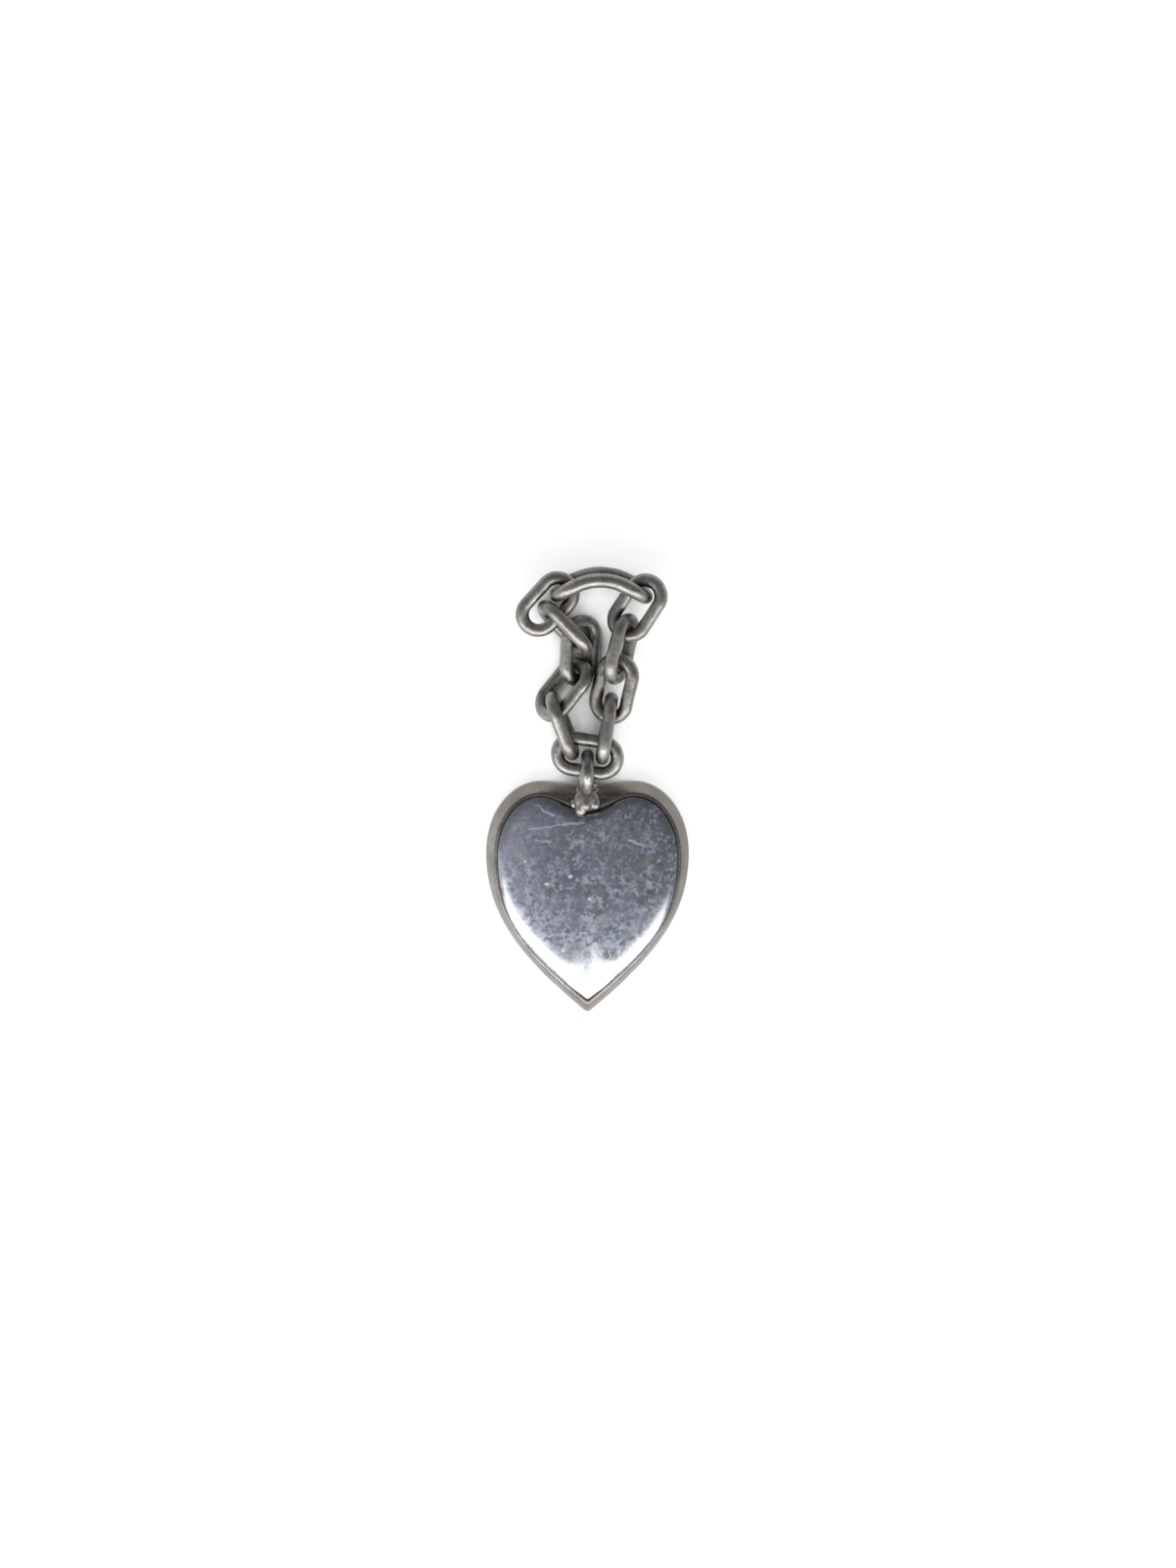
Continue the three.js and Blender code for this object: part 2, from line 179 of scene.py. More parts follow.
def roughened(vertices, layers, seed):
    """Moves points by smooth noise; each layer is a feature size and a height in millimetres."""
    moved = []
    for v in vertices:
        shift = Vector((0, 0, 0))
        for size, height in layers:
            shift += noise.noise_vector(Vector(v) / size + Vector((seed, seed * 0.7, 0))) * height
        moved.append(np.array(v) + np.array(shift))
    return np.array(moved)


def risen(value, start, length, most):
    """Share that grows from nothing at a start, over a length, to a limit."""
    return max(0.0, min(most, (value - start) / length))


# Bezel: sloped wall with a soft lip, uneven as handwork is and swollen under the eye
WALL_FOOT = 0.5  # width of the wall's foot on the back plate
WALL_BASE = 0.35  # upright part of the wall above the back plate
SLOPE_BREAK = 0.66  # share of the height at which the slope has half its lean
LIP_ROLL = 0.1  # how far the lip rolls up proud of its inner edge
SWELLING_HEIGHT = 1.0
SWELLING_MIDDLE = 6.1  # place of the swelling along the heart
SWELLING_HALF_WIDTH = 1.5
SWELLING_HALF_LENGTH = 0.5
SWELLING_START = 0.05  # height over the back plate at which the wall begins to swell
wall_height = LIP_HEIGHT - PLATE_TOP
bezel_corners = [
    (WALL_FOOT, PLATE_TOP),
    (0.0, PLATE_TOP),
    (0.0, PLATE_TOP + WALL_BASE),
    (BEZEL_LEAN * 0.5, PLATE_TOP + wall_height * SLOPE_BREAK),
    (BEZEL_LEAN, LIP_HEIGHT + LIP_ROLL),
    (OPENING_INSET, LIP_HEIGHT),
    (OPENING_INSET, PLATE_TOP),
    (WALL_FOOT, PLATE_TOP),
]
bezel_cuts = (0.06, 0.16, 0.4, 0.3, 0.1, 0.03)
bezel_rings = [
    ring(outline(inset), height)
    for inset, height in rounded_profile(bezel_corners, bezel_cuts, steps=5)[:-1]
]
vertices, faces = skinned(bezel_rings, closed=True)
swelling = SWELLING_HEIGHT * np.exp(
    -((vertices[:, 0] / SWELLING_HALF_WIDTH) ** 2)
    - ((vertices[:, 1] - SWELLING_MIDDLE) / SWELLING_HALF_LENGTH) ** 2
)
above_plate = vertices[:, 2] > PLATE_TOP + SWELLING_START
vertices[:, 2] += np.where(above_plate, swelling, 0)
bezel = made("bezel_formed", roughened(vertices, layers=((3.0, 0.035), (0.9, 0.012)), seed=3.1), faces)
# brown tarnish towards the tip, and painted shade on the lobes and on the right side, stored in one
# attribute
bezel_tarnish_and_shade = bezel.data.attributes.new("tarnish_and_shade", "FLOAT", "POINT")
for value, vertex in zip(bezel_tarnish_and_shade.data, bezel.data.vertices):
    at_tip = risen(-vertex.co.y / MM, start=11.5, length=4, most=0.6)
    shaded_lobes = risen(vertex.co.y / MM, start=1.5, length=4, most=1.0)
    shaded_right = risen(vertex.co.x / MM, start=5, length=4, most=0.9)
    value.value = max(at_tip, shaded_lobes, shaded_right)

# Back plate: flat sheet with a worn edge
PLATE_MARGIN = 0.6  # width of the sheet's edge that is shaped
plate_corners = [(PLATE_MARGIN, 0.0), (0.0, 0.0), (0.0, PLATE_TOP), (PLATE_MARGIN, PLATE_TOP)]
plate_cuts = (0.16, 0.1)
plate_rings = [np.array([[0, 0, 0]])]
plate_rings += [
    ring(outline(inset), height)
    for inset, height in rounded_profile(plate_corners, plate_cuts, steps=6)
]
plate_rings.append(np.array([[0, 0, PLATE_TOP]]))
plate = made("back_plate_formed", *skinned(plate_rings, closed=False), sharp_angle=40)

# Stone: flat base, and a dome that is steep at its margin, where it meets the lip
STONE_RINGS = 48
STONE_PLAY = 0.005  # space between the stone and the bezel
TIP_POWER = 3.7  # fall of the dome towards the tip
FLANK_POWER = 10  # towards the flanks, where its shoulder is tighter
LOBE_POWER = 6  # and towards the lobes
TIP_FALL = 0.95  # height of the dome over its margin at the tip
FLANK_FALL = 0.65  # and elsewhere
FLANK_START = 0.2  # distance from the tip at which the flank's shape sets in
FLANK_BLEND = 4.0  # and the length over which it takes over
LOBE_START = -2  # place along the heart at which the lobes' shape sets in
LOBE_BLEND = 5
GIRDLE_HEIGHT = 0.1  # upright edge of the stone under the dome
RING_CROWDING = 1.5  # above 1, the dome's rings stand closer near the margin
CROWN_EASE = 8  # length of outline over which the dome's innermost rings are rounded
EASE_GROWTH = 0.6  # below 1, the rounding sets in sooner behind the margin
stone_outline = outline(OPENING_INSET + STONE_PLAY)
tip = np.argmin(stone_outline[:, 1])
from_tip = np.linalg.norm(stone_outline - stone_outline[tip], axis=1)
up_flank = np.clip((from_tip - FLANK_START) / FLANK_BLEND, 0, 1)
up_flank = up_flank * up_flank * (3 - 2 * up_flank)
power = TIP_POWER + (FLANK_POWER - TIP_POWER) * up_flank
power += (LOBE_POWER - power) * np.clip((stone_outline[:, 1] - LOBE_START) / LOBE_BLEND, 0, 1)
fall = TIP_FALL + (FLANK_FALL - TIP_FALL) * up_flank
girdle = np.concatenate([stone_outline, (STONE_TOP - fall - GIRDLE_HEIGHT)[:, None]], 1)
stone_rings = [np.array([[0, 0, PLATE_TOP]]), ring(stone_outline, PLATE_TOP), girdle]
for i in range(STONE_RINGS):
    part = 1 - (i / STONE_RINGS) ** RING_CROWDING
    height = STONE_TOP - fall * part**power
    place = eased(stone_outline, CROWN_EASE * (1 - part) ** EASE_GROWTH) * part
    stone_rings.append(np.concatenate([place, height[:, None]], 1))
stone_rings.append(np.array([[0, 0, STONE_TOP]]))
vertices, faces = skinned(stone_rings, closed=False)
stone = made("stone_domed", roughened(vertices, layers=((2.2, 0.012),), seed=7.7), faces, sharp_angle=60)
edge_tree = kdtree.KDTree(len(stone_outline))
for i, (x, y) in enumerate(stone_outline):
    edge_tree.insert(Vector((x, y, 0)), i)
edge_tree.balance()
margin = stone.data.attributes.new("margin", "FLOAT", "POINT")
for value, vertex in zip(margin.data, stone.data.vertices):
    value.value = edge_tree.find(Vector((vertex.co.x / MM, vertex.co.y / MM, 0)))[2]


def swept(path, radius, sides, closed):
    """Round wire along a path of points, with one radius for each point."""
    path = np.asarray(path, float)
    if closed:
        ahead = np.roll(path, -1, axis=0) - np.roll(path, 1, axis=0)
    else:
        ahead = np.gradient(path, axis=0)
    ahead /= np.linalg.norm(ahead, axis=1)[:, None]
    spread = np.linalg.svd(path - path.mean(0), full_matrices=True)[2]
    up = spread[2]
    side = np.cross(up, ahead)
    side /= np.linalg.norm(side, axis=1)[:, None]
    across = np.cross(ahead, side)
    rings = []
    for point, s, a, r in zip(path, side, across, radius):
        angle = np.linspace(0, 2 * np.pi, sides, endpoint=False)[:, None]
        rings.append(point + (np.cos(angle) * s + np.sin(angle) * a) * r)
    if not closed:
        rings = [path[:1]] + rings + [path[-1:]]
    return skinned(rings, closed)


def ball(centre, radii):
    """Points and faces of an ellipsoid, to be fused with others."""
    shell = bmesh.new()
    bmesh.ops.create_icosphere(shell, subdivisions=4, radius=1)
    vertices = np.array([v.co for v in shell.verts]) * radii + centre
    faces = [[v.index for v in f.verts] for f in shell.faces]
    shell.free()
    return vertices, faces


def fused(name, shells, voxel, smoothing, layers, seed):
    """One smooth skin over several closed shells."""
    mesh = bpy.data.meshes.new(name + "_shells")
    vertices = []
    faces = []
    for shell_vertices, shell_faces in shells:
        faces += [[int(i) + len(vertices) for i in f] for f in shell_faces]
        vertices += np.asarray(shell_vertices).tolist()
    mesh.from_pydata(vertices, [], faces)
    block = bpy.data.objects.new(name + "_shells", mesh)
    bpy.context.scene.collection.objects.link(block)
    remesh = block.modifiers.new("skin", "REMESH")
    remesh.mode = "VOXEL"
    remesh.voxel_size = voxel
    smooth = block.modifiers.new("ease", "SMOOTH")
    smooth.factor = 0.5
    smooth.iterations = smoothing
    evaluated = block.evaluated_get(bpy.context.evaluated_depsgraph_get())
    skin = evaluated.to_mesh()
    vertices = np.array([v.co for v in skin.vertices])
    faces = [list(p.vertices) for p in skin.polygons]
    evaluated.to_mesh_clear()
    bpy.data.objects.remove(block)
    return made(name, roughened(vertices, layers, seed), faces)


# Wire eye: a ring standing on edge, its shank and the foot that spreads over the bezel
eye_low, eye_high = (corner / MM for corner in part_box("hanging_eye"))
EYE_WIRE = 1.2
EYE_RADIUS = (eye_high.z - eye_low.z - EYE_WIRE) / 2
EYE_STEPS = 96
EYE_SIDES = 28
SHANK_STEPS = 24
SHANK_SIDES = 32
SHANK_RADIUS = 0.98
SHANK_LENGTH = 1.35
SHANK_LAP = 0.45  # how far the shank runs into the ring
SHANK_DROP = 0.25  # and how far it lies below the ring's middle
SHANK_WAVE = 0.04
FOOT_MIDDLE = np.array([0.0, 6.4, 2.3])
FOOT_RADII = np.array([1.15, 0.9, 0.95])
SKIN_VOXEL = 0.055
eye_centre = np.array([0, eye_high.y - EYE_RADIUS - EYE_WIRE / 2, (eye_low.z + eye_high.z) / 2])
turn = np.linspace(0, 2 * np.pi, EYE_STEPS, endpoint=False)
eye_path = eye_centre + EYE_RADIUS * np.stack([0 * turn, np.cos(turn), np.sin(turn)], 1)
shank_share = np.linspace(0, 1, SHANK_STEPS)
shank_path = np.stack(
    [
        SHANK_WAVE * np.sin(3 * shank_share),
        eye_centre[1] - EYE_RADIUS + SHANK_LAP - SHANK_LENGTH * shank_share,
        np.full(SHANK_STEPS, eye_centre[2] - SHANK_DROP),
    ],
    1,
)

# the ring is wider on its inner side near the foot, but not where a link swings past on the right
EYE_WIDENING = 0.85
WIDENING_START = 0.75  # place past the ring's middle at which the widening sets in
WIDENING_BLEND = 1.2
INNER_REACH = 0.35  # half the depth of wire over which the widening fades outwards
ROOM_HEIGHT = 1.05  # height over the ring's middle that the swinging link needs free
ROOM_BLEND = 0.35
ring_vertices, ring_faces = swept(eye_path, np.full(EYE_STEPS, EYE_WIRE / 2), EYE_SIDES, closed=True)
toward_foot = np.clip((eye_centre[1] + WIDENING_START - ring_vertices[:, 1]) / WIDENING_BLEND, 0, 1)
outward = np.linalg.norm(ring_vertices[:, 1:] - eye_centre[1:], axis=1) - EYE_RADIUS
inner_side = np.clip((INNER_REACH - outward) / (2 * INNER_REACH), 0, 1)
room = np.clip((eye_centre[2] + ROOM_HEIGHT - ring_vertices[:, 2]) / ROOM_BLEND, 0, 1)
room[ring_vertices[:, 0] < 0] = 1
ring_vertices[:, 0] *= 1 + EYE_WIDENING * toward_foot * inner_side * room
eye = fused(
    "hanging_eye_formed",
    [
        (ring_vertices, ring_faces),
        swept(shank_path, np.full(SHANK_STEPS, SHANK_RADIUS), SHANK_SIDES, closed=False),
        ball(FOOT_MIDDLE, FOOT_RADII),
    ],
    voxel=SKIN_VOXEL,
    smoothing=14,
    layers=((1.2, 0.03), (0.4, 0.01)),
    seed=11.3,
)

# Solder: a spread run with rounded lumps frozen on it, each with its place and its radii
bead_low, bead_high = (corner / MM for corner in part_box("solder_bead"))
bead_middle = np.array((bead_low + bead_high) / 2)
SOLDER_LUMPS = (
    ((-0.1, 1.25, 0.1), (1.25, 1.1, 0.65)),
    ((-0.19, 0.9, 0.5), (0.6, 0.62, 0.55)),
    ((-0.66, 0.38, 0.3), (0.6, 0.62, 0.52)),
    ((0.75, 0.9, 0.25), (0.52, 0.55, 0.45)),
    ((-1.3, 0.85, -0.2), (0.42, 0.5, 0.36)),
)
solder = fused(
    "solder_formed",
    [ball(bead_middle + np.array(place), np.array(radii)) for place, radii in SOLDER_LUMPS],
    voxel=SKIN_VOXEL,
    smoothing=18,
    layers=((0.9, 0.02),),
    seed=5.9,
)

# Chain: each link's middle line is found from the directions in which its solid spreads
LINK_WIRE = 1.3
LINK_INSIDE_LENGTH = 4.6
LINK_INSIDE_WIDTH = 1.85
TOP_WIRE = 1.4
TOP_INSIDE_LENGTH = 7.3
TOP_INSIDE_WIDTH = 1.85
TOP_BOW = 1.8
LINK_STEPS = 132
LINK_SIDES = 22


def link_line(wire, inside_length, inside_width, bow):
    """Middle line of an oval link lying in its own frame."""
    bend = (inside_width + wire) / 2
    straight = inside_length - inside_width
    reach = (inside_length + wire) / 2
    half = straight + math.pi * bend
    line = []
    for i in range(LINK_STEPS):
        along = (i + 0.5) / LINK_STEPS * 2 * half
        flip = 1
        if along >= half:
            along -= half
            flip = -1
        if along < straight:
            x, y = along - straight / 2, -bend
        else:
            angle = (along - straight) / bend - math.pi / 2
            x, y = straight / 2 + bend * math.cos(angle), bend * math.sin(angle)
        line.append((flip * x, flip * y, bow * (1 - (x / reach) ** 2)))
    return np.array(line)


def placed_line(node, line):
    """The middle line moved to where the CAD link lies."""
    corners = np.array([v.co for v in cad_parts[node].data.vertices]) / MM
    corners = np.unique(np.round(corners, 4), axis=0)
    middle = corners.mean(0)
    axes = np.linalg.svd(corners - middle, full_matrices=False)[2]
    if np.linalg.det(axes) < 0:
        axes[2] *= -1
    along = (corners - middle) @ axes.T
    bulge = np.mean((along[:, 0] ** 2 - np.mean(along[:, 0] ** 2)) * along[:, 2])
    if bulge > 0:
        axes[1:] *= -1
    return middle + (line - line.mean(0)) @ axes


link_names = [name for name in sorted(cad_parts) if name.startswith("link_")]
lines = {}
for name in link_names:
    if name == "link_top":
        line = link_line(TOP_WIRE, TOP_INSIDE_LENGTH, TOP_INSIDE_WIDTH, TOP_BOW)
    else:
        line = link_line(LINK_WIRE, LINK_INSIDE_LENGTH, LINK_INSIDE_WIDTH, 0)
    lines[name] = placed_line(name, line)


# Tarnish gathers within a reach of other wires, where painted shade also darkens the recesses, and
# painted shade darkens the lower side of the chain
SOIL_AND_SHADE_REACH = 0.9
LOW_PAINTED_SHADE = 0.75  # share of painted shade near the floor
LOW_SHADE_TOP = 2.4  # height at which it ends
LOW_SHADE_BLEND = 1.8


def tarnished_and_shaded(piece, others):
    """Stores on each point how much tarnish and painted shade it gets."""
    tree = kdtree.KDTree(len(others))
    for i, point in enumerate(others):
        tree.insert(Vector(point), i)
    tree.balance()
    layer = piece.data.attributes.new("tarnish_and_shade", "FLOAT", "POINT")
    values = []
    for vertex in piece.data.vertices:
        distance = tree.find(vertex.co / MM)[2] - LINK_WIRE / 2
        # painted shade on the lower side of the chain
        low = LOW_PAINTED_SHADE * max(0.0, min(1.0, (LOW_SHADE_TOP - vertex.co.z / MM) / LOW_SHADE_BLEND))
        values.append(max(low, min(1.0, 1 - distance / SOIL_AND_SHADE_REACH)))
    layer.data.foreach_set("value", values)


# The wire of a link is slightly uneven and has a raised, split seam, at one of three places
WIRE_WAVE = 0.012
SEAM_SWELL = 0.04
SEAM_HALF_WIDTH = 1.6  # in steps along the wire
SPLIT_HALF_WIDTH = 0.7
SPLIT_DEPTH = 0.7
FIRST_SEAM = 20
SEAM_SPACING = 11
step = np.arange(LINK_STEPS)
links = {}
for index, name in enumerate(link_names):
    wire = TOP_WIRE if name == "link_top" else LINK_WIRE
    from_seam = step - FIRST_SEAM - SEAM_SPACING * (index % 3)
    seam = np.exp(-((from_seam / SEAM_HALF_WIDTH) ** 2))
    seam -= SPLIT_DEPTH * np.exp(-((from_seam / SPLIT_HALF_WIDTH) ** 2))
    wave = np.sin(step / LINK_STEPS * 2 * np.pi * 3 + index)
    radius = wire / 2 * (1 + WIRE_WAVE * wave + SEAM_SWELL * seam)
    vertices, faces = swept(lines[name], radius, LINK_SIDES, closed=True)
    vertices = roughened(vertices, layers=((1.6, 0.03), (0.5, 0.012)), seed=index * 2.3)
    links[name] = made(name + "_wire", vertices, faces)
    neighbours = [lines[other] for other in link_names if other != name] + [eye_path]
    tarnished_and_shaded(links[name], np.concatenate(neighbours))
tarnished_and_shaded(eye, np.concatenate([lines[name] for name in link_names]))


STREAK_CORE = 0.35  # share of a streak's width that is solid


class Graph:
    """Short way to write the nodes of a material or of the world."""

    def __init__(self, owner, shader="Principled BSDF"):
        owner.use_nodes = True
        self.owner = owner
        self.tree = owner.node_tree
        self.shader = self.tree.nodes[shader]

    def node(self, kind, inputs=None, **settings):
        made_node = self.tree.nodes.new(kind)
        for key, value in settings.items():
            setattr(made_node, key, value)
        for key, value in (inputs or {}).items():
            self.give(made_node.inputs[key], value)
        return made_node

    def give(self, socket, value):
        if isinstance(value, bpy.types.NodeSocket):
            self.tree.links.new(value, socket)
        else:
            socket.default_value = value

    def math(self, operation, a, b=0.0, clamp=False):
        return self.node("ShaderNodeMath", {0: a, 1: b}, operation=operation, use_clamp=clamp).outputs[0]

    def times(self, a, b):
        return self.math("MULTIPLY", a, b)

    def weighed(self, a, weight_a, b, weight_b):
        return self.math("ADD", self.times(a, weight_a), self.times(b, weight_b))

    def vector(self, operation, a, b, output="Vector"):
        return self.node("ShaderNodeVectorMath", {0: a, 1: b}, operation=operation).outputs[output]

    def ramp(self, value, low, high, to_low=0.0, to_high=1.0):
        """Smooth step from one value at a low end to another at a high end."""
        return self.node(
            "ShaderNodeMapRange",
            {"Value": value, "From Min": low, "From Max": high, "To Min": to_low, "To Max": to_high},
            interpolation_type="SMOOTHSTEP",
        ).outputs[0]

    def mix(self, share, a, b, blend="MIX"):
        made_node = self.node("ShaderNodeMix", data_type="RGBA", blend_type=blend)
        self.give(made_node.inputs[0], share)
        self.give(made_node.inputs[6], a)
        self.give(made_node.inputs[7], b)
        return made_node.outputs[2]

    def noise(self, place, scale, detail=2.0, rough=0.5, warp=0.0):
        return self.node(
            "ShaderNodeTexNoise",
            {"Vector": place, "Scale": scale, "Detail": detail, "Roughness": rough, "Distortion": warp},
        ).outputs[0]

    def streak(self, place, start, end, width):
        """Mask that is 1 on a line between two points in millimetres and fades out at a width."""
        first = Vector((start[0], start[1], 0)) * MM
        run = Vector((end[0], end[1], 0)) * MM - first
        from_first = self.vector("SUBTRACT", place, first)
        along = self.vector("DOT_PRODUCT", from_first, run, "Value")
        share = self.math("MULTIPLY", along, 1 / run.length_squared, clamp=True)
        foot = self.node("ShaderNodeVectorMath", {0: run, "Scale": share}, operation="SCALE").outputs[0]
        away = self.vector("DISTANCE", from_first, foot, "Value")
        return self.ramp(away, width * MM, width * MM * STREAK_CORE)

    def stretched(self, place, scale):
        return self.node("ShaderNodeMapping", {"Vector": place, "Scale": scale}).outputs[0]


def silver(name, light, dark, soil_and_shade, roughness, brushed, soil_and_shade_share, relief=0.35):
    """Worn silver: uneven grey, brown tarnish where it stays and painted shade where the attribute gives
    it, fine scratches and soft gloss.
    """
    g = Graph(bpy.data.materials.new(name))
    place = g.node("ShaderNodeTexCoord").outputs["Object"]
    cloud = g.noise(place, scale=420, detail=4, rough=0.6)
    grain = g.noise(place, scale=3800, detail=3, rough=0.65)
    scratch = g.noise(g.stretched(place, brushed), scale=1.0, detail=2, rough=0.6)
    colour = g.mix(g.ramp(g.weighed(cloud, 0.6, grain, 0.4), 0.36, 0.66), dark, light)
    # the attribute holds tarnish and painted shade
    near = g.node("ShaderNodeAttribute", attribute_name="tarnish_and_shade").outputs["Fac"]
    kept = g.times(g.ramp(near, 0.15, 0.95), g.ramp(grain, 0.25, 0.6, 0.55, 1.0))
    spots = g.ramp(g.noise(place, scale=900, detail=3, rough=0.6), 0.52, 0.75, 0, 0.5)
    tarnish_and_shade = g.times(g.math("ADD", kept, spots, clamp=True), soil_and_shade_share)
    g.give(g.shader.inputs["Base Color"], g.mix(tarnish_and_shade, colour, soil_and_shade))
    g.shader.inputs["Metallic"].default_value = 1.0
    gloss = g.ramp(g.weighed(grain, 0.5, scratch, 0.5), 0.3, 0.7, *roughness)
    g.give(g.shader.inputs["Roughness"], gloss)
    height = g.weighed(grain, 0.6, scratch, 0.5)
    bump = g.node("ShaderNodeBump", {"Height": height, "Strength": relief, "Distance": 0.03 * MM})
    g.give(g.shader.inputs["Normal"], bump.outputs[0])
    return g.owner


def rgba(red, green, blue):
    return (red, green, blue, 1.0)


# dark browns of tarnish, also used for painted shade
SOIL_AND_SHADE = rgba(0.05, 0.043, 0.037)
BROWN_SOIL_AND_SHADE = rgba(0.15, 0.125, 0.105)
bezel_silver = silver(
    "bezel_silver",
    light=rgba(0.34, 0.325, 0.305),
    dark=rgba(0.22, 0.21, 0.195),
    soil_and_shade=BROWN_SOIL_AND_SHADE,
    roughness=(0.24, 0.38),
    brushed=(9000, 2500, 900),
    soil_and_shade_share=0.55,
)
back_silver = silver(
    "back_silver",
    light=rgba(0.42, 0.41, 0.39),
    dark=rgba(0.28, 0.27, 0.255),
    soil_and_shade=SOIL_AND_SHADE,
    roughness=(0.3, 0.48),
    brushed=(300, 14000, 300),
    soil_and_shade_share=0.5,
)
chain_silver = silver(
    "chain_silver",
    light=rgba(0.42, 0.403, 0.378),
    dark=rgba(0.25, 0.239, 0.222),
    soil_and_shade=SOIL_AND_SHADE,
    roughness=(0.33, 0.5),
    brushed=(5000, 5000, 5000),
    soil_and_shade_share=0.9,
)
solder_silver = silver(
    "solder_silver",
    light=rgba(0.4, 0.38, 0.352),
    dark=rgba(0.27, 0.256, 0.236),
    soil_and_shade=SOIL_AND_SHADE,
    roughness=(0.38, 0.5),
    brushed=(900, 900, 900),
    soil_and_shade_share=0.3,
    relief=0.05,
)

# Colours of the stone, its grains and its flaws, and of the painted shade and painted light on it
SLATE_DARK = rgba(0.072, 0.092, 0.138)
SLATE_LIGHT = rgba(0.125, 0.143, 0.198)
LAVENDER = rgba(0.215, 0.212, 0.262)
DEEP_BLUE = rgba(0.085, 0.115, 0.215)
TOP_SHADE = rgba(0.5, 0.5, 0.54)
LOWER_PAINTED_LIGHT_TONE = rgba(0.33, 0.35, 0.4)
LOWER_PAINTED_LIGHT = rgba(1.9, 1.9, 1.85)
LEFT_CLOUD = rgba(0.32, 0.32, 0.385)
LEFT_PAINTED_LIGHT = rgba(1.8, 1.8, 1.8)
PALE_GRAIN = rgba(0.32, 0.365, 0.45)
DARK_GRAIN = rgba(0.03, 0.034, 0.05)
BROWN_GRAIN = rgba(0.055, 0.05, 0.045)
DARK_SPECK = rgba(0.022, 0.02, 0.022)
PALE_SPECK = rgba(0.62, 0.64, 0.7)
SCRATCH = rgba(0.4, 0.46, 0.52)
LIP_SHADOW = rgba(0.012, 0.013, 0.014)

# Flaws of the stone in millimetres: scratches with ends, width and strength, and specks with radii
SCRATCHES = (
    ((-5.1, 5.15), (-3.3, 4.1), 0.13, 0.8),
    ((-5.6, 2.85), (-2.3, 3.27), 0.14, 0.5),
    ((-2.3, 3.27), (-0.3, 3.43), 0.2, 0.6),
    ((-5.2, 1.75), (-3.5, 1.55), 0.12, 0.45),
    ((4.05, 1.74), (5.5, 1.25), 0.16, 0.7),
)
PALE_SPECKS = (
    (-4.1, -2.7, 0.24), (-1.7, -1.95, 0.22), (0.2, -4.2, 0.2), (-2.5, -9.3, 0.26), (-6.2, -0.4, 0.18),
)
DARK_SPECKS = (
    (4.3, 2.8, 0.24), (-1.5, 0.6, 0.24), (1.5, -2.9, 0.26), (3.9, -2.2, 0.24), (6.2, -3.5, 0.42),
    (5.6, -1.7, 0.26), (7.2, -0.7, 0.28),
)
SPECK_LENGTH = 0.1


